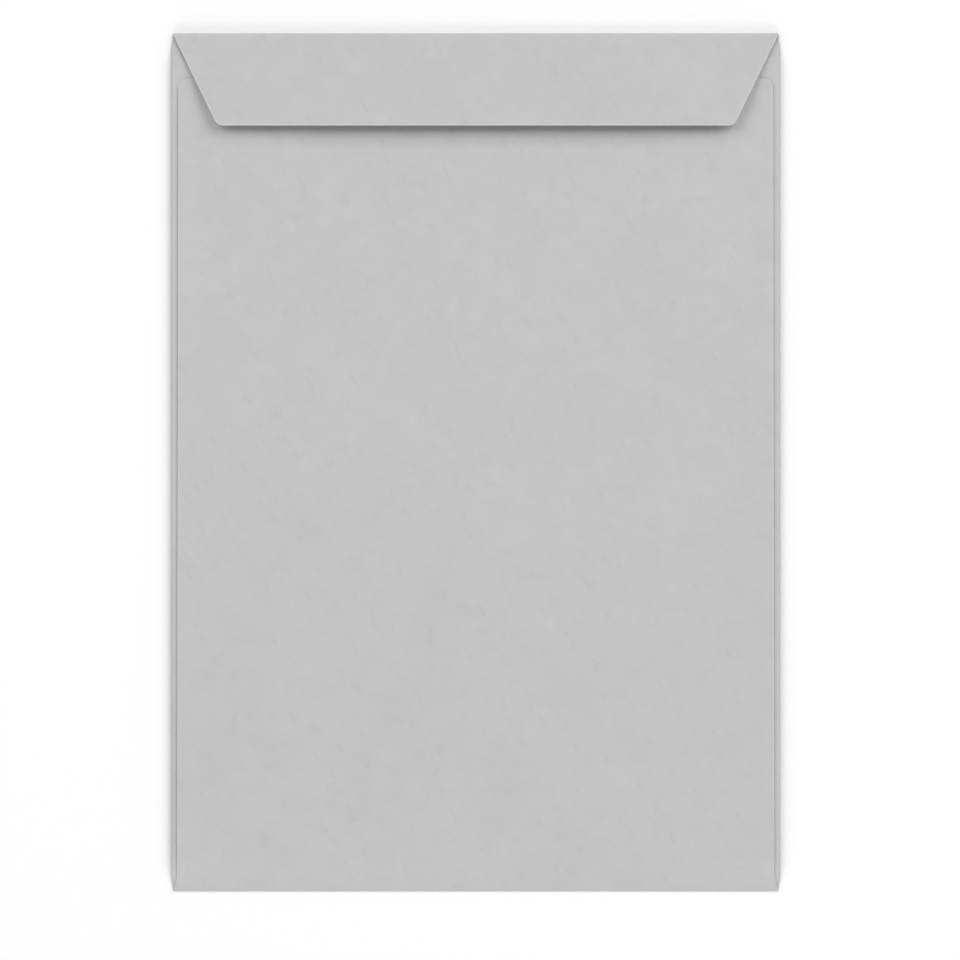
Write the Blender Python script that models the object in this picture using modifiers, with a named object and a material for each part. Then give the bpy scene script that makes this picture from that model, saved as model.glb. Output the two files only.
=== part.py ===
"""Pocket envelope folded from one paper blank, lying flap side up on its front panel.

X runs across the envelope, +Y points to the fold of the closing flap and +Z is up. The blank is one
cross-shaped sheet: the front panel in the middle, a narrow flap on each side, the back panel below
and the closing flap above. The sheet is drawn at the middle of the paper's thickness, and the rise
of a layer is the height of its middle above the front panel's middle.
"""
import math

import bmesh
import bpy

MM = 0.001

# The paper and the folded outline, which is drawn in a little at the four corners
PAPER_THICKNESS = 0.14 * MM
ENVELOPE_WIDTH = 230.1 * MM
ENVELOPE_HEIGHT = 324.0 * MM
CORNER_NIP = 0.6 * MM
CORNER_NIP_LENGTH = 6.5 * MM

# The back panel lies a little inside the side folds, flares out to the bottom corners and stands up
# a little along its edges
THROAT_DEPTH = 17.5 * MM
SEAM_INSET_AT_THROAT = 2.85 * MM
SEAM_INSET_AT_FLARE = 2.35 * MM
PANEL_FLARE_HEIGHT = 7.0 * MM
PANEL_CORNER_RADIUS = 3.0 * MM
PANEL_EDGE_LIFT = 0.34 * MM
PANEL_EDGE_WIDTH = 9.0 * MM

# The side flaps, and the glue that joins the back panel to them inside its raised edge
SIDE_FLAP_WIDTH = 20.0 * MM
SIDE_FLAP_END_SLOPE = 0.5
GLUE_THICKNESS = 0.03 * MM
GLUE_BITE = 0.04 * MM
GLUE_MARGIN = 2.5 * MM

# The closing flap, folded over and left open
FLAP_DEPTH = 35.25 * MM
FLAP_SIDE_SLOPE = 0.488
FLAP_CORNER_RADIUS = 3.4 * MM
FLAP_EDGE_GAP = 3.0 * MM
FLAP_FOLD_GAP = 0.4 * MM
FLAP_ARCH = 1.5
FLAP_CLEARANCE = 0.03 * MM

# The air between two layers: pressed flat at the folds' ends, sprung open along the side folds
PRESSED_GAP = 0.08 * MM
UNGLUED_GAP = 0.05 * MM
MIDDLE_GAP = 0.8 * MM
SIDE_GAP = 1.7 * MM
RISE_LENGTH = 14.0 * MM
SPRING_REACH = 44.0 * MM

# How finely the curves are divided
FOLD_HALF_STEPS = 3
END_STEPS = 12
CORNER_STEPS = 4
SIDE_FLAP_STEPS = 5
FLAP_STEPS = 6
SMOOTH_ANGLE = math.radians(40.0)

PAPER_COLOR = (0.56, 0.56, 0.56, 1.0)
PAPER_ROUGHNESS = 0.85
MERGE_DISTANCE = 0.001 * MM

# Values that follow from the sizes above
FRONT_LEVEL = PAPER_THICKNESS / 2
PRESSED_RISE = PAPER_THICKNESS + PRESSED_GAP
MIDDLE_RISE = PAPER_THICKNESS + MIDDLE_GAP
SIDE_RISE = PAPER_THICKNESS + SIDE_GAP
GLUED_OFFSET = PAPER_THICKNESS + GLUE_THICKNESS
PANEL_FOLD_RISE = PRESSED_RISE + GLUED_OFFSET + UNGLUED_GAP
FLAP_FOLD_RISE = PRESSED_RISE + PAPER_THICKNESS + FLAP_FOLD_GAP
FLAP_EDGE_RISE = SIDE_RISE + GLUED_OFFSET + PAPER_THICKNESS + FLAP_EDGE_GAP
BOTTOM_FOLD_Y = -ENVELOPE_HEIGHT / 2 + PAPER_THICKNESS / 2 + PANEL_FOLD_RISE / 2
TOP_FOLD_Y = ENVELOPE_HEIGHT / 2 - PAPER_THICKNESS / 2 - FLAP_FOLD_RISE / 2
THROAT_Y = ENVELOPE_HEIGHT / 2 - THROAT_DEPTH
FLAP_EDGE_Y = ENVELOPE_HEIGHT / 2 - FLAP_DEPTH
FLAP_REACH = TOP_FOLD_Y - FLAP_EDGE_Y
FLAP_LIFT = math.atan(FLAP_ARCH * (FLAP_EDGE_RISE - FLAP_FOLD_RISE) / FLAP_REACH)
SIDE_FLAP_CUT = SIDE_FLAP_END_SLOPE * SIDE_FLAP_WIDTH
END_LENGTH = max(RISE_LENGTH, PANEL_FLARE_HEIGHT, CORNER_NIP_LENGTH)
SPRING_WIDTH = SIDE_FLAP_WIDTH + SPRING_REACH


def ease(fraction):
    """Smooth step from 0 to 1."""
    held = min(max(fraction, 0.0), 1.0)
    return held * held * (3.0 - 2.0 * held)


def near(distance, width):
    """1 at an edge, 0 from the given distance on."""
    return max(0.0, 1.0 - distance / width)


def end_ease(y, length):
    """0 at the bottom and top folds, 1 from the given distance inwards."""
    return ease((y - BOTTOM_FOLD_Y) / length) * ease((TOP_FOLD_Y - y) / length)


def flap_climb(distance):
    """What the closing flap gains in height from its fold: steep at first, level at its free edge."""
    part = min(max(distance / FLAP_REACH, 0.0), 1.0)
    return (FLAP_EDGE_RISE - FLAP_FOLD_RISE) * (1.0 - (1.0 - part) ** FLAP_ARCH)


def side_rise(y):
    """Rise of the side flap at its fold: pressed flat at both ends and kept under the closing flap."""
    sprung = PRESSED_RISE + (SIDE_RISE - PRESSED_RISE) * end_ease(y, RISE_LENGTH)
    under_flap = FLAP_FOLD_RISE + flap_climb(TOP_FOLD_Y - y)
    return min(sprung, under_flap - PAPER_THICKNESS - FLAP_CLEARANCE)


def side_fold_x(y):
    """Where the front panel turns up into the side fold."""
    nip = CORNER_NIP * (1.0 - end_ease(y, CORNER_NIP_LENGTH))
    return ENVELOPE_WIDTH / 2 - nip - PAPER_THICKNESS / 2 - side_rise(y) / 2


def layer_rise(x, y):
    """Rise of the layer over the front panel: highest at the side folds, lower in the middle."""
    middle = PRESSED_RISE + (MIDDLE_RISE - PRESSED_RISE) * end_ease(y, RISE_LENGTH)
    across = ease(1.0 - (side_fold_x(y) - x) / SPRING_WIDTH)
    return middle + (side_rise(y) - middle) * across


def panel_rise(x, y):
    """Rise of the back panel, glued on the side flaps and loose at their ends and along its edges."""
    pressed = end_ease(y, RISE_LENGTH)
    loose = UNGLUED_GAP * (1.0 - pressed)
    edge = PANEL_EDGE_LIFT * pressed * ease(near(panel_half_width(y) - x, PANEL_EDGE_WIDTH))
    return layer_rise(x, y) + GLUED_OFFSET + loose + edge


def panel_half_width(y):
    """Half width of the back panel, without its rounded top corners."""
    height = y - BOTTOM_FOLD_Y
    along = height / (THROAT_Y - BOTTOM_FOLD_Y)
    inset = SEAM_INSET_AT_FLARE + (SEAM_INSET_AT_THROAT - SEAM_INSET_AT_FLARE) * along
    flare = max(0.0, 1.0 - height / PANEL_FLARE_HEIGHT) ** 2
    straight = ENVELOPE_WIDTH / 2 - inset
    return straight + (side_fold_x(BOTTOM_FOLD_Y) - straight) * flare


def flap_half_width(y):
    """Half width of the closing flap, without its rounded corners."""
    return side_fold_x(TOP_FOLD_Y) - FLAP_SIDE_SLOPE * (TOP_FOLD_Y - y)


def fold_angles(total):
    """Angles round a fold, with one at the outermost point of the turn."""
    quarter = math.pi / 2
    steps = range(1, FOLD_HALF_STEPS + 1)
    first = [quarter * step / FOLD_HALF_STEPS for step in steps]
    second = [quarter + (total - quarter) * step / FOLD_HALF_STEPS for step in steps]
    return first + second


def join_rows(bm, rows):
    """Quads between rows of vertices that have the same length."""
    for lower, upper in zip(rows, rows[1:]):
        for index in range(len(lower) - 1):
            bm.faces.new([lower[index], lower[index + 1], upper[index + 1], upper[index]])


def end_distances():
    """Distances from a fold's end, close together where the layers rise."""
    return [END_LENGTH * step / END_STEPS for step in range(END_STEPS + 1)]


def side_stations():
    """Heights along the side fold, with one where the flap's slanted end has run out."""
    distances = end_distances() + [END_LENGTH + 2 * SIDE_FLAP_CUT]
    lower = [BOTTOM_FOLD_Y + distance for distance in distances]
    upper = [TOP_FOLD_Y - distance for distance in reversed(distances)]
    return lower + upper


def slanted_y(y, reach):
    """The side flap's ends are cut at a slant, so what lies further from the fold starts later."""
    zone = END_LENGTH + 2 * SIDE_FLAP_CUT
    from_bottom = max(0.0, 1.0 - (y - BOTTOM_FOLD_Y) / zone)
    from_top = max(0.0, 1.0 - (TOP_FOLD_Y - y) / zone)
    return y + SIDE_FLAP_END_SLOPE * reach * (from_bottom - from_top)


def build_side_flap(bm, fold_vertices):
    """From the front panel's side edge round the fold and inwards over the panel."""
    rows = []
    for vertex in fold_vertices:
        fold_y = vertex.co.y
        row = [vertex]
        for angle in fold_angles(math.pi):
            y = slanted_y(fold_y, angle * side_rise(fold_y) / 2)
            turn = side_rise(y) / 2
            x = side_fold_x(y) + turn * math.sin(angle)
            row.append(bm.verts.new((x, y, FRONT_LEVEL + turn * (1.0 - math.cos(angle)))))
        for step in range(1, SIDE_FLAP_STEPS + 1):
            inwards = SIDE_FLAP_WIDTH * step / SIDE_FLAP_STEPS
            y = slanted_y(fold_y, inwards)
            x = side_fold_x(y) - inwards
            row.append(bm.verts.new((x, y, FRONT_LEVEL + layer_rise(x, y))))
        rows.append(row)
    join_rows(bm, rows)


def panel_columns():
    """Parts of the panel's half width: the flat middle, then closer where the side flap lies."""
    half = panel_half_width(THROAT_Y)
    flat = 1.0 - SPRING_WIDTH / half
    inner = 1.0 - SIDE_FLAP_WIDTH / half
    steps = range(1, SIDE_FLAP_STEPS + 1)
    over_flap = [inner + (1.0 - inner) * step / SIDE_FLAP_STEPS for step in steps]
    return [0.0, flat, (flat + inner) / 2, inner] + over_flap


def panel_stations():
    """Heights of the back panel's rows with the half width at each, up to its rounded corners."""
    heights = [BOTTOM_FOLD_Y + distance for distance in end_distances()[1:]]
    stations = [(y, panel_half_width(y)) for y in heights]
    for step in range(CORNER_STEPS + 1):
        angle = math.pi / 2 * step / CORNER_STEPS
        y = THROAT_Y - PANEL_CORNER_RADIUS * (1.0 - math.sin(angle))
        stations.append((y, panel_half_width(y) - PANEL_CORNER_RADIUS * (1.0 - math.cos(angle))))
    return stations


def build_back_panel(bm, fold_row):
    """From the front panel's bottom edge round the bottom fold and up over the side flaps."""
    rows = [fold_row]
    turn = PANEL_FOLD_RISE / 2
    for angle in fold_angles(math.pi):
        y = BOTTOM_FOLD_Y - turn * math.sin(angle)
        z = FRONT_LEVEL + turn * (1.0 - math.cos(angle))
        rows.append([bm.verts.new((vertex.co.x, y, z)) for vertex in fold_row])
    for y, half_width in panel_stations():
        row = []
        for column in panel_columns():
            x = half_width * column
            row.append(bm.verts.new((x, y, FRONT_LEVEL + panel_rise(x, y))))
        rows.append(row)
    join_rows(bm, rows)


def flap_stations():
    """Heights of the closing flap's rows with the half width at each, down to its free edge."""
    side_angle = math.atan(FLAP_SIDE_SLOPE)
    corner_turn = math.pi / 2 - side_angle
    centre_x = flap_half_width(FLAP_EDGE_Y) - FLAP_CORNER_RADIUS * math.tan(corner_turn / 2)
    arc_start = FLAP_EDGE_Y + FLAP_CORNER_RADIUS * (1.0 - math.sin(side_angle))
    straight = arc_start - TOP_FOLD_Y
    heights = [TOP_FOLD_Y + straight * step / FLAP_STEPS for step in range(1, FLAP_STEPS)]
    stations = [(y, flap_half_width(y)) for y in heights]
    for step in range(CORNER_STEPS + 1):
        angle = side_angle + corner_turn * step / CORNER_STEPS
        y = FLAP_EDGE_Y + FLAP_CORNER_RADIUS * (1.0 - math.sin(angle))
        stations.append((y, centre_x + FLAP_CORNER_RADIUS * math.cos(angle)))
    return stations


def build_closing_flap(bm, fold_row):
    """From the front panel's top edge round the top fold and down to the lifted free edge."""
    rows = [fold_row]
    turn = FLAP_FOLD_RISE / 2
    corner = fold_row[-1].co.x
    for angle in fold_angles(math.pi - FLAP_LIFT):
        y = TOP_FOLD_Y + turn * math.sin(angle)
        z = FRONT_LEVEL + turn * (1.0 - math.cos(angle))
        rows.append([bm.verts.new((0.0, y, z)), bm.verts.new((corner, y, z))])
    _, straight_y, straight_z = rows[-1][0].co
    for y, half_width in flap_stations():
        z = straight_z + flap_climb(straight_y - y)
        rows.append([bm.verts.new((0.0, y, z)), bm.verts.new((half_width, y, z))])
    join_rows(bm, rows)


def build_sheet():
    """The right half of the folded blank, open at the middle plane."""
    bm = bmesh.new()
    fold_x = side_fold_x(BOTTOM_FOLD_Y)
    bottom = [bm.verts.new((fold_x * column, BOTTOM_FOLD_Y, FRONT_LEVEL)) for column in panel_columns()]
    side = [bottom[-1]]
    for y in side_stations()[1:]:
        side.append(bm.verts.new((side_fold_x(y), y, FRONT_LEVEL)))
    top = [bm.verts.new((0.0, TOP_FOLD_Y, FRONT_LEVEL)), side[-1]]
    bm.faces.new(bottom + side[1:] + top[:1])
    build_side_flap(bm, side)
    build_back_panel(bm, bottom)
    build_closing_flap(bm, top)
    bmesh.ops.recalc_face_normals(bm, faces=bm.faces)
    mesh = bpy.data.meshes.new("envelope")
    bm.to_mesh(mesh)
    bm.free()
    return mesh


def build_glue():
    """The middle of the band along the right seam in which side flap and back panel are one."""
    bm = bmesh.new()
    clear_of_ends = max(END_LENGTH, SIDE_FLAP_CUT) + GLUE_MARGIN
    low = BOTTOM_FOLD_Y + clear_of_ends
    high = min(THROAT_Y - GLUE_MARGIN, TOP_FOLD_Y - clear_of_ends)
    rows = []
    for y in (low, high):
        outer = panel_half_width(y) - PANEL_EDGE_WIDTH
        inner = side_fold_x(y) - SIDE_FLAP_WIDTH + GLUE_MARGIN
        row = []
        for step in range(SIDE_FLAP_STEPS + 1):
            x = outer + (inner - outer) * step / SIDE_FLAP_STEPS
            row.append(bm.verts.new((x, y, FRONT_LEVEL + layer_rise(x, y) + GLUED_OFFSET / 2)))
        rows.append(row)
    join_rows(bm, rows)
    mesh = bpy.data.meshes.new("seam_glue")
    bm.to_mesh(mesh)
    bm.free()
    return mesh


def add_mirror(obj):
    mirror = obj.modifiers.new("Mirror", "MIRROR")
    mirror.use_clip = True
    mirror.merge_threshold = MERGE_DISTANCE


def add_thickness(obj, thickness):
    solidify = obj.modifiers.new("Thickness", "SOLIDIFY")
    solidify.thickness = thickness
    solidify.offset = 0.0
    solidify.use_even_offset = True
    solidify.use_quality_normals = True


def make_paper():
    material = bpy.data.materials.new("paper")
    material.use_nodes = True
    shader = material.node_tree.nodes["Principled BSDF"]
    shader.inputs["Base Color"].default_value = PAPER_COLOR
    shader.inputs["Roughness"].default_value = PAPER_ROUGHNESS
    shader.inputs["Metallic"].default_value = 0.0
    return material


def new_collection(name):
    collection = bpy.data.collections.new(name)
    bpy.context.scene.collection.children.link(collection)
    return collection


def main():
    for obj in list(bpy.data.objects):
        bpy.data.objects.remove(obj, do_unlink=True)

    glue = bpy.data.objects.new("seam_glue", build_glue())
    new_collection("cutters").objects.link(glue)
    glue.hide_render = True
    glue.display_type = 'WIRE'
    add_mirror(glue)
    add_thickness(glue, GLUE_THICKNESS + 2 * GLUE_BITE)

    envelope = bpy.data.objects.new("envelope", build_sheet())
    new_collection("pocket_envelope").objects.link(envelope)
    envelope.data.materials.append(make_paper())
    envelope.data.shade_smooth()
    envelope.data.set_sharp_from_angle(angle=SMOOTH_ANGLE)
    add_mirror(envelope)
    add_thickness(envelope, PAPER_THICKNESS)
    fuse = envelope.modifiers.new("Glued seams", "BOOLEAN")
    fuse.operation = 'UNION'
    fuse.object = glue


main()
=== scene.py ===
"""Looks of the pocket envelope: one folded sheet of pale grey paper, seen from straight above.

The piece is folded by the same rules as the solid it stands for, from a finer grid, with the slight
waves of handled paper. Rise means the height of a layer's middle above the front panel's middle.
"""
import math

import bmesh
import bpy
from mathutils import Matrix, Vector, noise


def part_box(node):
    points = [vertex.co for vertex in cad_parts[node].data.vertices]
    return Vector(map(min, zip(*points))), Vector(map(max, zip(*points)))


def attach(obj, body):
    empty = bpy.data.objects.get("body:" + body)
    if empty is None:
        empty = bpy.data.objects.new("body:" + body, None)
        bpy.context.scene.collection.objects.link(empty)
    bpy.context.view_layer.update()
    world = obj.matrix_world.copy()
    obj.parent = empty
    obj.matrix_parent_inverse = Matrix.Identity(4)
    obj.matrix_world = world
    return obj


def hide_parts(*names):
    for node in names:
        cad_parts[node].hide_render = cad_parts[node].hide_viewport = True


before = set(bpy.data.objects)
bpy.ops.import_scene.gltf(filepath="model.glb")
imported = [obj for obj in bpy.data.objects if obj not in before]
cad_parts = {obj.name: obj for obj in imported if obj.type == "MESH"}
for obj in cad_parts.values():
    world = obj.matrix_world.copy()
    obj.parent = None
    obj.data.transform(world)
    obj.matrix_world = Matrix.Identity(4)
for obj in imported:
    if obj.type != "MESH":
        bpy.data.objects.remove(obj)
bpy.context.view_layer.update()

box_low, box_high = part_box("envelope")

MM = 0.001

# The paper and the folded outline, which is drawn in a little at its four corners
PAPER_THICKNESS = 0.14 * MM
ENVELOPE_WIDTH = box_high.x - box_low.x
ENVELOPE_HEIGHT = box_high.y - box_low.y
CORNER_NIP = 0.6 * MM
CORNER_NIP_LENGTH = 6.5 * MM

# The back panel lies a little inside the side folds and flares out to the bottom corners. Its side edges
# lift a little off the side flaps, from the throat downwards.
THROAT_DEPTH = 17.5 * MM
SEAM_INSET_AT_THROAT = 2.85 * MM
SEAM_INSET_AT_FLARE = 2.35 * MM
PANEL_FLARE_HEIGHT = 7.0 * MM
PANEL_CORNER_RADIUS = 3.0 * MM
PANEL_EDGE_LIFT = 0.34 * MM
PANEL_EDGE_WIDTH = 9.0 * MM
PANEL_EDGE_START = 5.0 * MM

# The side flaps and the glue that joins the back panel to them
SIDE_FLAP_WIDTH = 20.0 * MM
SIDE_FLAP_END_SLOPE = 0.5
GLUE_THICKNESS = 0.03 * MM
GLUE_BITE = 0.04 * MM
GLUE_MARGIN = 2.5 * MM

# The closing flap, folded over and left open
FLAP_DEPTH = 35.25 * MM
FLAP_SIDE_SLOPE = 0.488
FLAP_CORNER_RADIUS = 3.4 * MM
FLAP_EDGE_GAP = 3.0 * MM
FLAP_FOLD_GAP = 0.4 * MM
FLAP_ARCH = 1.5
FLAP_CLEARANCE = 0.03 * MM

# The air between two layers: pressed flat at the ends of the side folds, sprung open along them
PRESSED_GAP = 0.08 * MM
UNGLUED_GAP = 0.05 * MM
MIDDLE_GAP = 0.8 * MM
SIDE_GAP = 1.7 * MM
RISE_LENGTH = 14.0 * MM
MIDDLE_RISE_LENGTH = 32.0 * MM
SPRING_REACH = 44.0 * MM

# The waves of handled paper, which die out towards the folds. The closing flap's waves come from another
# level of the noise than those of the layers below it.
WAVE_HEIGHT = 0.09 * MM
WAVE_LENGTH = 42.0 * MM
WAVE_FADE = 15.0 * MM
WAVE_SOFTNESS = 0.8
WAVE_SPREAD = 2.0
WAVE_OCTAVES = 2
PANEL_WAVE_LEVEL = 0.0
FLAP_WAVE_LEVEL = 5.0

# How finely the sheet is divided, with the first points in from an edge close together
GRID_STEP = 2.6 * MM
EDGE_DISTANCES = [0.0, 0.15 * MM, 0.35 * MM, 0.7 * MM, 1.2 * MM, 2.0 * MM, 3.2 * MM]
END_STEP = 1.0 * MM
FOLD_HALF_STEPS = 6
CORNER_STEPS = 9
SIDE_FLAP_STEPS = 12
SMOOTH_ANGLE = math.radians(40.0)
WELD_DISTANCE = 0.002 * MM

# How far the marks reach from the cut edges (farthest on the closing flap) and from the folds' outermost
# lines.
# The paler cut edges are partly wear and partly a painted highlight. The darker fold lines are painted
# shade, and the paper is also rubbed a little smoother there
EDGE_WEAR_AND_HIGHLIGHT_REACH = 0.2 * MM
FLAP_EDGE_WEAR_AND_HIGHLIGHT_REACH = 0.5 * MM
RIDGE_SHADE_AND_POLISH_REACH = 0.45 * MM
FAR_FROM_MARKS = 1.0

# Values that follow from the sizes above
FRONT_LEVEL = PAPER_THICKNESS / 2
PRESSED_RISE = PAPER_THICKNESS + PRESSED_GAP
MIDDLE_RISE = PAPER_THICKNESS + MIDDLE_GAP
SIDE_RISE = PAPER_THICKNESS + SIDE_GAP
GLUED_OFFSET = PAPER_THICKNESS + GLUE_THICKNESS
PANEL_FOLD_RISE = PRESSED_RISE + GLUED_OFFSET + UNGLUED_GAP
FLAP_FOLD_RISE = PRESSED_RISE + PAPER_THICKNESS + FLAP_FOLD_GAP
FLAP_EDGE_RISE = SIDE_RISE + GLUED_OFFSET + PAPER_THICKNESS + FLAP_EDGE_GAP
BOTTOM_FOLD_Y = -ENVELOPE_HEIGHT / 2 + PAPER_THICKNESS / 2 + PANEL_FOLD_RISE / 2
TOP_FOLD_Y = ENVELOPE_HEIGHT / 2 - PAPER_THICKNESS / 2 - FLAP_FOLD_RISE / 2
THROAT_Y = ENVELOPE_HEIGHT / 2 - THROAT_DEPTH
FLAP_EDGE_Y = ENVELOPE_HEIGHT / 2 - FLAP_DEPTH
FLAP_REACH = TOP_FOLD_Y - FLAP_EDGE_Y
FLAP_LIFT = math.atan(FLAP_ARCH * (FLAP_EDGE_RISE - FLAP_FOLD_RISE) / FLAP_REACH)
SIDE_FLAP_CUT = SIDE_FLAP_END_SLOPE * SIDE_FLAP_WIDTH
END_LENGTH = max(RISE_LENGTH, PANEL_FLARE_HEIGHT, CORNER_NIP_LENGTH)
SPRING_WIDTH = SIDE_FLAP_WIDTH + SPRING_REACH

# The camera looks straight down on a point a little nearer the bottom fold than the envelope's middle
CAMERA_PLACE = (1.62 * MM, -6.83 * MM, 1500.0 * MM)
VIEW_WIDTH = 362.85 * MM
SENSOR_WIDTH = 36.0

# The light: two wide soft key panels side by side beyond the top fold, a low fill panel opposite, and a
# room that is brighter at its horizon. A share is that part's light on a level surface, and the shares
# add up to about 1. Elevations are counted from +Y upwards and on over the top.
KEY_SHARE_LEFT = 0.26
KEY_SHARE_RIGHT = 0.335
KEY_ELEVATION = math.radians(46.6)
KEY_DISTANCE = 3.1
KEY_OFFSET = 3.4
KEY_WIDTH = 5.0
KEY_HEIGHT = 2.65
FILL_SHARE = 0.135
FILL_ELEVATION = math.radians(180.0 - 10.0)
FILL_DISTANCE = 9.0
FILL_WIDTH = 13.5
FILL_HEIGHT = 2.0
HORIZON_SHARE = 0.165
ROOM_SHARE = 0.108
HORIZON_POWER = 2.0
HORIZON_SAMPLES = 400
PANEL_SAMPLES = 24
WHITE = (1.0, 1.0, 1.0)
BACKGROUND_WHITE = 1.0

# The floor, white where it is seen and grey in the light that it throws back
FLOOR_SIZE = 12.0
FLOOR_DROP = 0.02 * MM
FLOOR_GREY = 0.2
FLOOR_WHITE = 0.985
FLOOR_GLOW = 0.042
FLOOR_GLOW_REACH = 0.3

# The paper's colour, and the length, width and height of what varies it
PAPER_GREY = (0.543, 0.543, 0.543)
CLOUD_SIZE = (52.0 * MM, 46.0 * MM, 50.0 * MM)
CLOUD_DETAIL = 3.0
CLOUD_RAGGEDNESS = 0.95
FORMATION_SIZE = (5.5 * MM, 4.5 * MM, 5.0 * MM)
DARK_FLECK_SIZE = (6.2 * MM, 3.0 * MM, 4.0 * MM)
DARK_FLECK_TURN = math.radians(-52.0)
DARK_FLECK_START = 0.58
PALE_FLECK_SIZE = (5.4 * MM, 2.8 * MM, 4.0 * MM)
PALE_FLECK_TURN = math.radians(38.0)
PALE_FLECK_START = 0.60
FLECK_DETAIL = 1.0
FLECK_SOFTNESS = 0.16
FIBRE_SIZE = (1.6 * MM, 0.16 * MM, 0.3 * MM)
FIBRE_TURNS = [math.radians(12.0), math.radians(71.0), math.radians(128.0)]
TOOTH_SIZE = (0.32 * MM, 0.32 * MM, 0.32 * MM)
TOOTH_DETAIL = 3.0

# How much of the paper's colour each of them adds or takes away
CLOUD_SHADE = 0.13
FORMATION_SHADE = 0.06
DARK_FLECK_SHADE = 0.03
PALE_FLECK_SHADE = 0.02
FIBRE_SHADE = 0.06
TOOTH_SHADE = 0.03
# Paler cut edges: partly wear, partly a painted highlight
CUT_EDGE_WEAR_AND_HIGHLIGHT = 0.26
# Painted shade along the folds' outermost lines, where the turn falls away from the light
RIDGE_PAINTED_SHADE = 0.12

# The paper's dull surface, rubbed a little smoother on the folds
PAPER_ROUGHNESS = 0.84
TOOTH_ROUGHNESS = 0.10
FIBRE_ROUGHNESS = 0.08
RIDGE_POLISH = 0.05
PAPER_SHEEN = 0.25
RELIEF_STRENGTH = 0.5
RELIEF_HEIGHT = 0.03 * MM
TOOTH_RELIEF = 0.5
FORMATION_RELIEF = 0.3


def ease(fraction):
    """Smooth step from 0 to 1."""
    held = min(max(fraction, 0.0), 1.0)
    return held * held * (3.0 - 2.0 * held)


def near(distance, width):
    """1 at an edge, 0 from the given distance on."""
    return max(0.0, 1.0 - distance / width)


def end_ease(y, length):
    """0 at the bottom and top folds, 1 from the given distance inwards."""
    return ease((y - BOTTOM_FOLD_Y) / length) * ease((TOP_FOLD_Y - y) / length)


def flap_climb(distance):
    """What the closing flap gains in height from its fold: steep at first, level at its free edge."""
    part = min(max(distance / FLAP_REACH, 0.0), 1.0)
    return (FLAP_EDGE_RISE - FLAP_FOLD_RISE) * (1.0 - (1.0 - part) ** FLAP_ARCH)


def side_rise(y):
    """Rise of the side flap at its fold: pressed flat at both ends and kept under the closing flap."""
    sprung = PRESSED_RISE + (SIDE_RISE - PRESSED_RISE) * end_ease(y, RISE_LENGTH)
    under_flap = FLAP_FOLD_RISE + flap_climb(TOP_FOLD_Y - y)
    return min(sprung, under_flap - PAPER_THICKNESS - FLAP_CLEARANCE)


def side_fold_x(y):
    """Where the front panel turns up into the side fold."""
    nip = CORNER_NIP * (1.0 - end_ease(y, CORNER_NIP_LENGTH))
    return ENVELOPE_WIDTH / 2 - nip - PAPER_THICKNESS / 2 - side_rise(y) / 2


def waves(x, y, level, fade):
    """Gentle waves, the same for layers that lie on each other."""
    place = Vector((x / WAVE_LENGTH, y / WAVE_LENGTH, level))
    return WAVE_HEIGHT * noise.fractal(place, WAVE_SOFTNESS, WAVE_SPREAD, WAVE_OCTAVES) * fade


def layer_rise(x, y):
    """Rise of the layer over the front panel: highest at the side folds, lower in the middle."""
    middle = PRESSED_RISE + (MIDDLE_RISE - PRESSED_RISE) * end_ease(y, MIDDLE_RISE_LENGTH)
    inwards = side_fold_x(y) - abs(x)
    across = ease(1.0 - inwards / SPRING_WIDTH)
    fade = end_ease(y, WAVE_FADE) * ease(inwards / WAVE_FADE)
    return middle + (side_rise(y) - middle) * across + waves(x, y, PANEL_WAVE_LEVEL, fade)


def panel_rise(x, y):
    """Rise of the back panel, glued on the side flaps and a little looser at their ends and edges."""
    pressed = end_ease(y, RISE_LENGTH)
    loose = UNGLUED_GAP * (1.0 - pressed)
    raised = ease((THROAT_Y - y) / PANEL_EDGE_START) * pressed
    edge = PANEL_EDGE_LIFT * raised * ease(near(panel_half_width(y) - abs(x), PANEL_EDGE_WIDTH))
    return layer_rise(x, y) + GLUED_OFFSET + loose + edge


def panel_half_width(y):
    """Half width of the back panel, without its rounded top corners."""
    height = y - BOTTOM_FOLD_Y
    along = height / (THROAT_Y - BOTTOM_FOLD_Y)
    inset = SEAM_INSET_AT_FLARE + (SEAM_INSET_AT_THROAT - SEAM_INSET_AT_FLARE) * along
    flare = max(0.0, 1.0 - height / PANEL_FLARE_HEIGHT) ** 2
    straight = ENVELOPE_WIDTH / 2 - inset
    return straight + (side_fold_x(BOTTOM_FOLD_Y) - straight) * flare


def flap_half_width(y):
    """Half width of the closing flap, without its rounded corners."""
    return side_fold_x(TOP_FOLD_Y) - FLAP_SIDE_SLOPE * (TOP_FOLD_Y - y)


def even_steps(start, end, step):
    """Values from start to end about a step apart, both ends included."""
    count = max(1, round((end - start) / step))
    return [start + (end - start) * index / count for index in range(count + 1)]


def across_fractions():
    """Places across the sheet from -1 to 1, close together at its sides."""
    half = ENVELOPE_WIDTH / 2
    right = [1.0 - distance / half for distance in EDGE_DISTANCES]
    middle = even_steps(-right[-1], right[-1], GRID_STEP / half)
    left = [-place for place in right[:-1]]
    return left + middle + list(reversed(right[:-1]))


def fold_angles(total):
    """Angles round a fold, with one at the outermost point of the turn."""
    quarter = math.pi / 2
    steps = range(1, FOLD_HALF_STEPS + 1)
    first = [quarter * step / FOLD_HALF_STEPS for step in steps]
    second = [quarter + (total - quarter) * step / FOLD_HALF_STEPS for step in steps]
    return first + second


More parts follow.
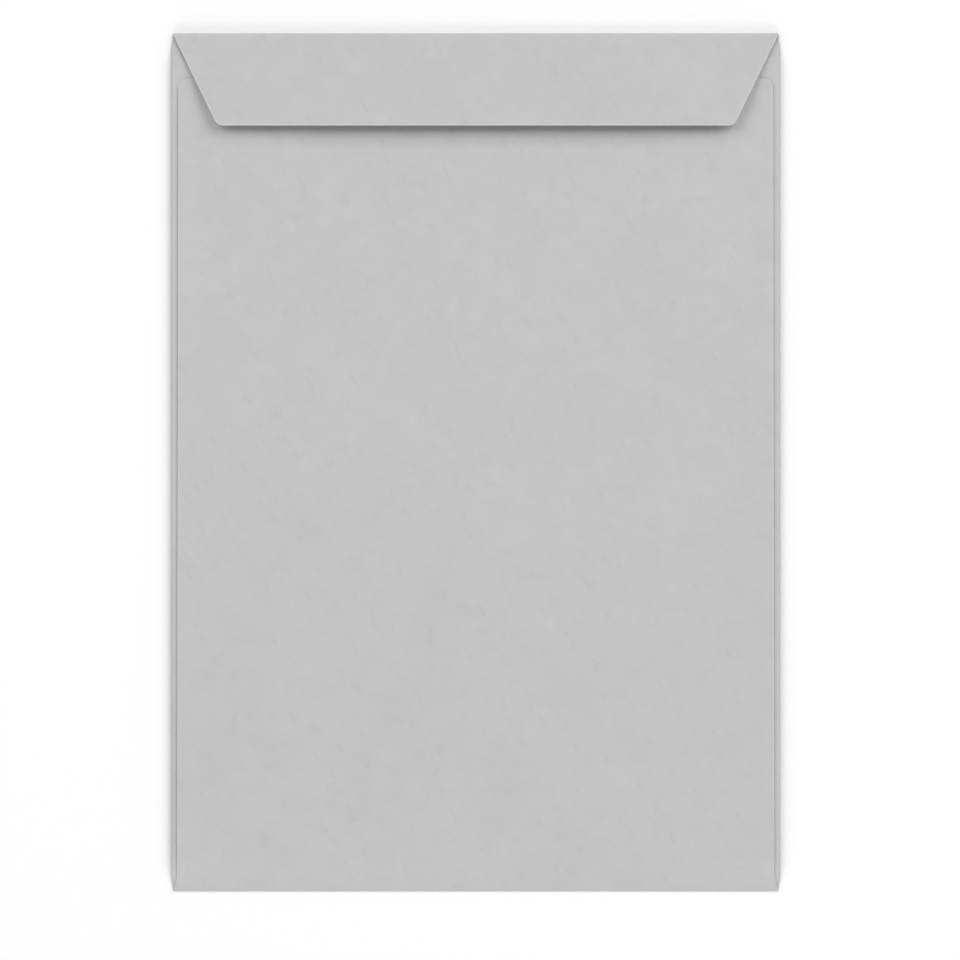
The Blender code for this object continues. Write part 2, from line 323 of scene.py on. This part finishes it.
def side_stations():
    """Heights along the side folds, close together where the layers rise at both ends."""
    zone = END_LENGTH + 2 * SIDE_FLAP_CUT
    close = EDGE_DISTANCES + even_steps(EDGE_DISTANCES[-1], END_LENGTH, END_STEP)[1:]
    ends = close + even_steps(END_LENGTH, zone, GRID_STEP)[1:]
    lower = [BOTTOM_FOLD_Y + distance for distance in ends]
    upper = [TOP_FOLD_Y - distance for distance in reversed(ends)]
    return lower + even_steps(lower[-1], upper[0], GRID_STEP)[1:-1] + upper


def slanted_y(y, reach):
    """The side flap's ends are cut at a slant, so what lies further from the fold starts later."""
    zone = END_LENGTH + 2 * SIDE_FLAP_CUT
    from_bottom = max(0.0, 1.0 - (y - BOTTOM_FOLD_Y) / zone)
    from_top = max(0.0, 1.0 - (TOP_FOLD_Y - y) / zone)
    return y + SIDE_FLAP_END_SLOPE * reach * (from_bottom - from_top)


class Sheet:
    """The open middle surface of the blank, with each point's pale cut-edge mark (wear and painted
    highlight) and painted fold shade.
    """

    def __init__(self):
        self.bm = bmesh.new()
        self.cut = self.bm.verts.layers.float.new("cut_edge")
        self.ridge = self.bm.verts.layers.float.new("ridge")

    def point(self, place, to_cut=FAR_FROM_MARKS, to_ridge=FAR_FROM_MARKS, edge_wear_and_highlight=EDGE_WEAR_AND_HIGHLIGHT_REACH):
        """A vertex, with how near it lies to the nearest cut edge (paler there: wear and a painted
        highlight) and to a fold's outermost line (painted shade).
        """
        vertex = self.bm.verts.new(place)
        vertex[self.cut] = near(to_cut, edge_wear_and_highlight)
        # The fold mark darkens the colour as painted shade and also makes the paper a little smoother
        vertex[self.ridge] = near(to_ridge, RIDGE_SHADE_AND_POLISH_REACH)
        return vertex

    def join(self, rows):
        """Quads between rows of vertices that have the same length."""
        for lower, upper in zip(rows, rows[1:]):
            for index in range(len(lower) - 1):
                corners = [lower[index], lower[index + 1], upper[index + 1], upper[index]]
                if len({tuple(corner.co) for corner in corners}) > 2:
                    self.bm.faces.new(corners)

    def finish(self, name):
        """Welds the panels where they meet and returns the mesh."""
        bmesh.ops.remove_doubles(self.bm, verts=self.bm.verts, dist=WELD_DISTANCE)
        bmesh.ops.recalc_face_normals(self.bm, faces=self.bm.faces)
        mesh = bpy.data.meshes.new(name)
        self.bm.to_mesh(mesh)
        self.bm.free()
        return mesh


def add_front_panel(sheet):
    """The flat panel that the envelope lies on."""
    rows = []
    for y in side_stations():
        places = [(side_fold_x(y) * fraction, y, FRONT_LEVEL) for fraction in across_fractions()]
        rows.append([sheet.point(place) for place in places])
    sheet.join(rows)


def add_side_flap(sheet, side):
    """From the front panel's side edge round the fold and inwards; side is 1 or -1."""
    reaches = even_steps(0.0, SIDE_FLAP_WIDTH - EDGE_DISTANCES[-1], SIDE_FLAP_WIDTH / SIDE_FLAP_STEPS)
    reaches += [SIDE_FLAP_WIDTH - distance for distance in reversed(EDGE_DISTANCES[:-1])]
    rows = []
    for fold_y in side_stations():
        to_end = min(fold_y - BOTTOM_FOLD_Y, TOP_FOLD_Y - fold_y)
        row = [sheet.point((side * side_fold_x(fold_y), fold_y, FRONT_LEVEL), to_end)]
        for angle in fold_angles(math.pi):
            y = slanted_y(fold_y, angle * side_rise(fold_y) / 2)
            turn = side_rise(y) / 2
            out = turn * math.sin(angle)
            z = FRONT_LEVEL + turn * (1.0 - math.cos(angle))
            row.append(sheet.point((side * (side_fold_x(y) + out), y, z), to_end, turn - out))
        for inwards in reaches[1:]:
            y = slanted_y(fold_y, inwards)
            x = side * (side_fold_x(y) - inwards)
            to_cut = min(to_end, SIDE_FLAP_WIDTH - inwards)
            row.append(sheet.point((x, y, FRONT_LEVEL + layer_rise(x, y)), to_cut))
        rows.append(row)
    sheet.join(rows)


def panel_stations():
    """Heights of the back panel's rows with the half width at each, up to its rounded corners."""
    close = EDGE_DISTANCES + even_steps(EDGE_DISTANCES[-1], END_LENGTH, END_STEP)[1:]
    heights = [BOTTOM_FOLD_Y + distance for distance in close]
    heights += even_steps(heights[-1], THROAT_Y - PANEL_CORNER_RADIUS, GRID_STEP)[1:-1]
    stations = [(y, panel_half_width(y)) for y in heights[1:]]
    for step in range(CORNER_STEPS + 1):
        angle = math.pi / 2 * step / CORNER_STEPS
        y = THROAT_Y - PANEL_CORNER_RADIUS * (1.0 - math.sin(angle))
        stations.append((y, panel_half_width(y) - PANEL_CORNER_RADIUS * (1.0 - math.cos(angle))))
    return stations


def add_back_panel(sheet):
    """From the front panel's bottom edge round the bottom fold and up over the side flaps."""
    turn = PANEL_FOLD_RISE / 2
    fold_x = side_fold_x(BOTTOM_FOLD_Y)
    rows = []
    for angle in [0.0] + fold_angles(math.pi):
        out = turn * math.sin(angle)
        z = FRONT_LEVEL + turn * (1.0 - math.cos(angle))
        row = []
        for fraction in across_fractions():
            x = fold_x * fraction
            row.append(sheet.point((x, BOTTOM_FOLD_Y - out, z), fold_x - abs(x), turn - out))
        rows.append(row)
    for y, half_width in panel_stations():
        row = []
        for fraction in across_fractions():
            x = half_width * fraction
            to_cut = min(half_width - abs(x), THROAT_Y - y)
            place = (x, y, FRONT_LEVEL + panel_rise(x, y))
            row.append(sheet.point(place, to_cut))
        rows.append(row)
    sheet.join(rows)


def flap_stations():
    """Heights of the closing flap's rows with the half width at each, down to its free edge."""
    side_angle = math.atan(FLAP_SIDE_SLOPE)
    corner_turn = math.pi / 2 - side_angle
    centre_x = flap_half_width(FLAP_EDGE_Y) - FLAP_CORNER_RADIUS * math.tan(corner_turn / 2)
    arc_start = FLAP_EDGE_Y + FLAP_CORNER_RADIUS * (1.0 - math.sin(side_angle))
    heights = [TOP_FOLD_Y - distance for distance in EDGE_DISTANCES[1:]]
    heights += even_steps(heights[-1], arc_start, -GRID_STEP)[1:-1]
    stations = [(y, flap_half_width(y)) for y in heights]
    for step in range(CORNER_STEPS + 1):
        angle = side_angle + corner_turn * step / CORNER_STEPS
        y = FLAP_EDGE_Y + FLAP_CORNER_RADIUS * (1.0 - math.sin(angle))
        stations.append((y, centre_x + FLAP_CORNER_RADIUS * math.cos(angle)))
    return stations


def add_closing_flap(sheet):
    """From the front panel's top edge round the top fold and down to the lifted free edge."""
    turn = FLAP_FOLD_RISE / 2
    corner = side_fold_x(TOP_FOLD_Y)
    rows = []
    for angle in [0.0] + fold_angles(math.pi - FLAP_LIFT):
        out = turn * math.sin(angle)
        z = FRONT_LEVEL + turn * (1.0 - math.cos(angle))
        row = []
        for fraction in across_fractions():
            x = corner * fraction
            row.append(sheet.point((x, TOP_FOLD_Y + out, z), corner - abs(x), turn - out))
        rows.append(row)
    straight_y = TOP_FOLD_Y + out
    straight_z = z
    for y, half_width in flap_stations():
        z = straight_z + flap_climb(straight_y - y)
        fade = ease((straight_y - y) / WAVE_FADE)
        row = []
        for fraction in across_fractions():
            x = half_width * fraction
            to_cut = min(half_width - abs(x), y - FLAP_EDGE_Y)
            place = (x, y, z + waves(x, y, FLAP_WAVE_LEVEL, fade))
            row.append(sheet.point(place, to_cut, edge_wear_and_highlight=FLAP_EDGE_WEAR_AND_HIGHLIGHT_REACH))
        rows.append(row)
    sheet.join(rows)


def add_glue(sheet, side):
    """The middle of the band along a seam in which side flap and back panel are one."""
    clear_of_ends = max(END_LENGTH, SIDE_FLAP_CUT) + GLUE_MARGIN
    low = BOTTOM_FOLD_Y + clear_of_ends
    high = min(THROAT_Y - GLUE_MARGIN, TOP_FOLD_Y - clear_of_ends)
    rows = []
    for y in even_steps(low, high, GRID_STEP):
        outer = panel_half_width(y) - PANEL_EDGE_WIDTH
        inner = side_fold_x(y) - SIDE_FLAP_WIDTH + GLUE_MARGIN
        row = []
        for place in even_steps(inner, outer, (outer - inner) / SIDE_FLAP_STEPS):
            x = side * place
            row.append(sheet.point((x, y, FRONT_LEVEL + layer_rise(x, y) + GLUED_OFFSET / 2)))
        rows.append(row)
    sheet.join(rows)


def add_thickness(obj, thickness):
    solidify = obj.modifiers.new("Thickness", "SOLIDIFY")
    solidify.thickness = thickness
    solidify.offset = 0.0
    solidify.use_even_offset = True
    solidify.use_quality_normals = True


def with_modifiers_applied(obj, name):
    """A new object from the given one as its modifiers leave it."""
    depsgraph = bpy.context.evaluated_depsgraph_get()
    mesh = bpy.data.meshes.new_from_object(obj.evaluated_get(depsgraph))
    mesh.name = name
    result = bpy.data.objects.new(name, mesh)
    bpy.context.scene.collection.objects.link(result)
    return result


def make_envelope(paper):
    """The folded sheet with its seams glued."""
    sheet = Sheet()
    add_front_panel(sheet)
    add_side_flap(sheet, 1)
    add_side_flap(sheet, -1)
    add_back_panel(sheet)
    add_closing_flap(sheet)
    blank = bpy.data.objects.new("open_sheet", sheet.finish("open_sheet"))

    band = Sheet()
    add_glue(band, 1)
    add_glue(band, -1)
    glue = bpy.data.objects.new("glue_bands", band.finish("glue_bands"))
    bpy.context.scene.collection.objects.link(glue)
    bpy.context.scene.collection.objects.link(blank)

    add_thickness(glue, GLUE_THICKNESS + 2 * GLUE_BITE)
    add_thickness(blank, PAPER_THICKNESS)
    fuse = blank.modifiers.new("Glued seams", "BOOLEAN")
    fuse.operation = 'UNION'
    fuse.object = glue
    envelope = with_modifiers_applied(blank, "folded_paper")
    bpy.data.objects.remove(blank, do_unlink=True)
    bpy.data.objects.remove(glue, do_unlink=True)

    envelope.data.materials.clear()
    envelope.data.materials.append(paper)
    envelope.data.shade_smooth()
    envelope.data.set_sharp_from_angle(angle=SMOOTH_ANGLE)
    return envelope


class Value:
    """A shader socket that takes part in Python sums."""

    def __init__(self, shading, socket):
        self.shading = shading
        self.socket = socket

    def __add__(self, other):
        return self.shading.math('ADD', self, other)

    __radd__ = __add__

    def __mul__(self, other):
        return self.shading.math('MULTIPLY', self, other)

    __rmul__ = __mul__

    def __sub__(self, other):
        return self.shading.math('SUBTRACT', self, other)

    def __rsub__(self, other):
        return self.shading.math('SUBTRACT', other, self)


class Shading:
    """Adds nodes to a material's or a world's empty node tree."""

    def __init__(self, owner):
        owner.use_nodes = True
        self.tree = owner.node_tree
        self.tree.nodes.clear()

    def node(self, kind, settings=None, inputs=None, output=0):
        """A new node's output; settings go in first, then the values or links of its sockets."""
        made = self.tree.nodes.new(kind)
        for name, setting in (settings or {}).items():
            setattr(made, name, setting)
        for name, value in (inputs or {}).items():
            if isinstance(value, Value):
                self.tree.links.new(value.socket, made.inputs[name])
            else:
                made.inputs[name].default_value = value
        if made.outputs:
            return Value(self, made.outputs[output])
        return None

    def math(self, operation, *values):
        return self.node("ShaderNodeMath", {"operation": operation}, dict(enumerate(values)))

    def scaled(self, color, factor):
        """A colour made darker or brighter."""
        settings = {"operation": 'SCALE'}
        return self.node("ShaderNodeVectorMath", settings, {"Vector": color, "Scale": factor})

    def place(self):
        """Where the point lies on the object, in metres."""
        return self.node("ShaderNodeTexCoord", output="Object")

    def grain(self, place, size, detail=2.0, turn=0.0, roughness=0.5):
        """Noise with features of the given length, width and height, turned about Z; from 0 to 1."""
        settings = {"vector_type": 'TEXTURE'}
        inputs = {"Vector": place, "Rotation": (0.0, 0.0, turn), "Scale": size}
        turned = self.node("ShaderNodeMapping", settings, inputs)
        inputs = {"Vector": turned, "Scale": 1.0, "Detail": detail, "Roughness": roughness}
        return self.node("ShaderNodeTexNoise", {}, inputs)

    def smooth(self, value, start, end):
        """0 up to start, 1 from end on, and a smooth step between."""
        settings = {"interpolation_type": 'SMOOTHSTEP'}
        return self.node("ShaderNodeMapRange", settings, {0: value, 1: start, 2: end})

    def attribute(self, name):
        return self.node("ShaderNodeAttribute", {"attribute_name": name}, output="Fac")

    def seen_directly(self):
        """1 for what the camera sees, straight, mirrored or through glass, and 0 for light."""
        camera = self.node("ShaderNodeLightPath", output="Is Camera Ray")
        mirrored = self.node("ShaderNodeLightPath", output="Is Glossy Ray")
        through = self.node("ShaderNodeLightPath", output="Is Transmission Ray")
        return self.math('MINIMUM', camera + mirrored + through, 1.0)


def make_paper():
    """Uncoated pale grey paper: cloudy formation, soft flecks, crossing fibres, cut edges paler from wear
    and a painted highlight, and painted shade on the folds.
    """
    material = bpy.data.materials.new("pale_grey_paper")
    shading = Shading(material)
    place = shading.place()
    cut_edge = shading.attribute("cut_edge")
    ridge = shading.attribute("ridge")

    clouds = shading.grain(place, CLOUD_SIZE, CLOUD_DETAIL, 0.0, CLOUD_RAGGEDNESS) - 0.5
    formation = shading.grain(place, FORMATION_SIZE) - 0.5
    dark_flecks = shading.grain(place, DARK_FLECK_SIZE, FLECK_DETAIL, DARK_FLECK_TURN)
    pale_flecks = shading.grain(place, PALE_FLECK_SIZE, FLECK_DETAIL, PALE_FLECK_TURN)
    darker = shading.smooth(dark_flecks, DARK_FLECK_START, DARK_FLECK_START + FLECK_SOFTNESS)
    paler = shading.smooth(pale_flecks, PALE_FLECK_START, PALE_FLECK_START + FLECK_SOFTNESS)
    crossing = sum(shading.grain(place, FIBRE_SIZE, turn=turn) for turn in FIBRE_TURNS)
    fibres = crossing * (1.0 / len(FIBRE_TURNS)) - 0.5
    tooth = shading.grain(place, TOOTH_SIZE, TOOTH_DETAIL) - 0.5

    shade = 1.0 + clouds * CLOUD_SHADE + formation * FORMATION_SHADE
    shade = shade - darker * DARK_FLECK_SHADE + paler * PALE_FLECK_SHADE
    shade = shade + fibres * FIBRE_SHADE + tooth * TOOTH_SHADE
    # Paler cut edges, partly wear and partly a painted highlight, and painted shade along the folds'
    # outermost lines
    shade = shade + cut_edge * CUT_EDGE_WEAR_AND_HIGHLIGHT - ridge * RIDGE_PAINTED_SHADE
    roughness = PAPER_ROUGHNESS + tooth * TOOTH_ROUGHNESS + fibres * FIBRE_ROUGHNESS - ridge * RIDGE_POLISH
    height = fibres + tooth * TOOTH_RELIEF + formation * FORMATION_RELIEF
    relief = {"Strength": RELIEF_STRENGTH, "Distance": RELIEF_HEIGHT, "Height": height}
    paper = {
        "Base Color": shading.scaled(PAPER_GREY, shade),
        "Roughness": roughness,
        "Specular IOR Level": PAPER_SHEEN,
        "Normal": shading.node("ShaderNodeBump", {}, relief),
    }
    surface = shading.node("ShaderNodeBsdfPrincipled", {}, paper)
    shading.node("ShaderNodeOutputMaterial", {}, {"Surface": surface})
    return material


def make_floor_paint():
    """White where it is seen, and grey in the light that it throws back.

    A faint glow makes up for the light that the floor loses away from the key panels.
    """
    material = bpy.data.materials.new("white_floor")
    shading = Shading(material)
    seen = shading.seen_directly()
    y = shading.node("ShaderNodeSeparateXYZ", {}, {"Vector": shading.place()}, "Y")
    lost = 1.0 - shading.smooth(y, -FLOOR_GLOW_REACH, FLOOR_GLOW_REACH)
    paint = {
        "Base Color": shading.scaled(WHITE, FLOOR_GREY + (FLOOR_WHITE - FLOOR_GREY) * seen),
        "Roughness": 1.0,
        "Specular IOR Level": 0.0,
        "Emission Color": shading.scaled(WHITE, seen * lost),
        "Emission Strength": FLOOR_GLOW,
    }
    surface = shading.node("ShaderNodeBsdfPrincipled", {}, paint)
    shading.node("ShaderNodeOutputMaterial", {}, {"Surface": surface})
    return material


def make_floor():
    bm = bmesh.new()
    bmesh.ops.create_grid(bm, x_segments=1, y_segments=1, size=FLOOR_SIZE / 2)
    mesh = bpy.data.meshes.new("floor")
    bm.to_mesh(mesh)
    bm.free()
    floor = bpy.data.objects.new("floor", mesh)
    floor.location.z = -FLOOR_DROP
    floor.data.materials.append(make_floor_paint())
    bpy.context.scene.collection.objects.link(floor)


def horizon_strength():
    """Strength at the horizon of light that fades upwards as (1 - height) to the given power."""
    heights = [(step + 0.5) / HORIZON_SAMPLES for step in range(HORIZON_SAMPLES)]
    level_light = sum(2.0 * height * (1.0 - height) ** HORIZON_POWER for height in heights)
    return HORIZON_SHARE * HORIZON_SAMPLES / level_light


def make_room():
    """Soft light from all round, on a background that shows white."""
    world = bpy.data.worlds.new("room")
    bpy.context.scene.world = world
    shading = Shading(world)
    direction = shading.node("ShaderNodeTexCoord", output="Generated")
    height = shading.node("ShaderNodeSeparateXYZ", {}, {"Vector": direction}, "Z")
    low = 1.0 - shading.math('MAXIMUM', height, 0.0)
    light = ROOM_SHARE + horizon_strength() * shading.math('POWER', low, HORIZON_POWER)
    seen = shading.seen_directly()
    strength = light * (1.0 - seen) + seen * BACKGROUND_WHITE
    surface = shading.node("ShaderNodeBackground", {}, {"Color": (*WHITE, 1.0), "Strength": strength})
    shading.node("ShaderNodeOutputWorld", {}, {"Surface": surface})


def make_panel(name, share, elevation, distance, size, offset=0.0):
    """A soft panel that gives a level surface its share of the light.

    Its plane faces the envelope from the given elevation above +Y, and offset moves it along X.
    """
    width, height = size
    across = Vector((1.0, 0.0, 0.0))
    towards = Vector((0.0, math.cos(elevation), math.sin(elevation)))
    upwards = across.cross(towards)
    middle = towards * distance + across * offset
    patch = width * height / PANEL_SAMPLES ** 2
    steps = [(step + 0.5) / PANEL_SAMPLES - 0.5 for step in range(PANEL_SAMPLES)]
    level_light = 0.0
    for step_across in steps:
        for step_up in steps:
            # A patch's light falls with its own slant, the floor's slant and its distance squared
            place = middle + across * width * step_across + upwards * height * step_up
            level_light += max(place.z, 0.0) * distance * patch / (math.pi * place.length ** 4)

    light = bpy.data.lights.new(name, 'AREA')
    light.shape = 'RECTANGLE'
    light.size = width
    light.size_y = height
    light.energy = math.pi * width * height * share / level_light
    lamp = bpy.data.objects.new(name, light)
    lamp.location = middle
    lamp.rotation_mode = 'QUATERNION'
    lamp.rotation_quaternion = towards.to_track_quat('Z', 'Y')
    lamp.visible_camera = False
    bpy.context.scene.collection.objects.link(lamp)


def make_camera():
    """Looks straight down, with the top fold at the top of the picture."""
    camera = bpy.data.objects.new("camera", bpy.data.cameras.new("camera"))
    camera.location = CAMERA_PLACE
    camera.data.sensor_width = SENSOR_WIDTH
    camera.data.lens = SENSOR_WIDTH * CAMERA_PLACE[2] / VIEW_WIDTH
    bpy.context.scene.collection.objects.link(camera)
    bpy.context.scene.camera = camera


envelope = make_envelope(make_paper())
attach(envelope, "root")
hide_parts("envelope")

make_floor()
make_room()
key_size = (KEY_WIDTH, KEY_HEIGHT)
make_panel("left_key_panel", KEY_SHARE_LEFT, KEY_ELEVATION, KEY_DISTANCE, key_size, -KEY_OFFSET)
make_panel("right_key_panel", KEY_SHARE_RIGHT, KEY_ELEVATION, KEY_DISTANCE, key_size, KEY_OFFSET)
make_panel("fill_panel", FILL_SHARE, FILL_ELEVATION, FILL_DISTANCE, (FILL_WIDTH, FILL_HEIGHT))
make_camera()
bpy.context.scene.view_settings.view_transform = 'Standard'
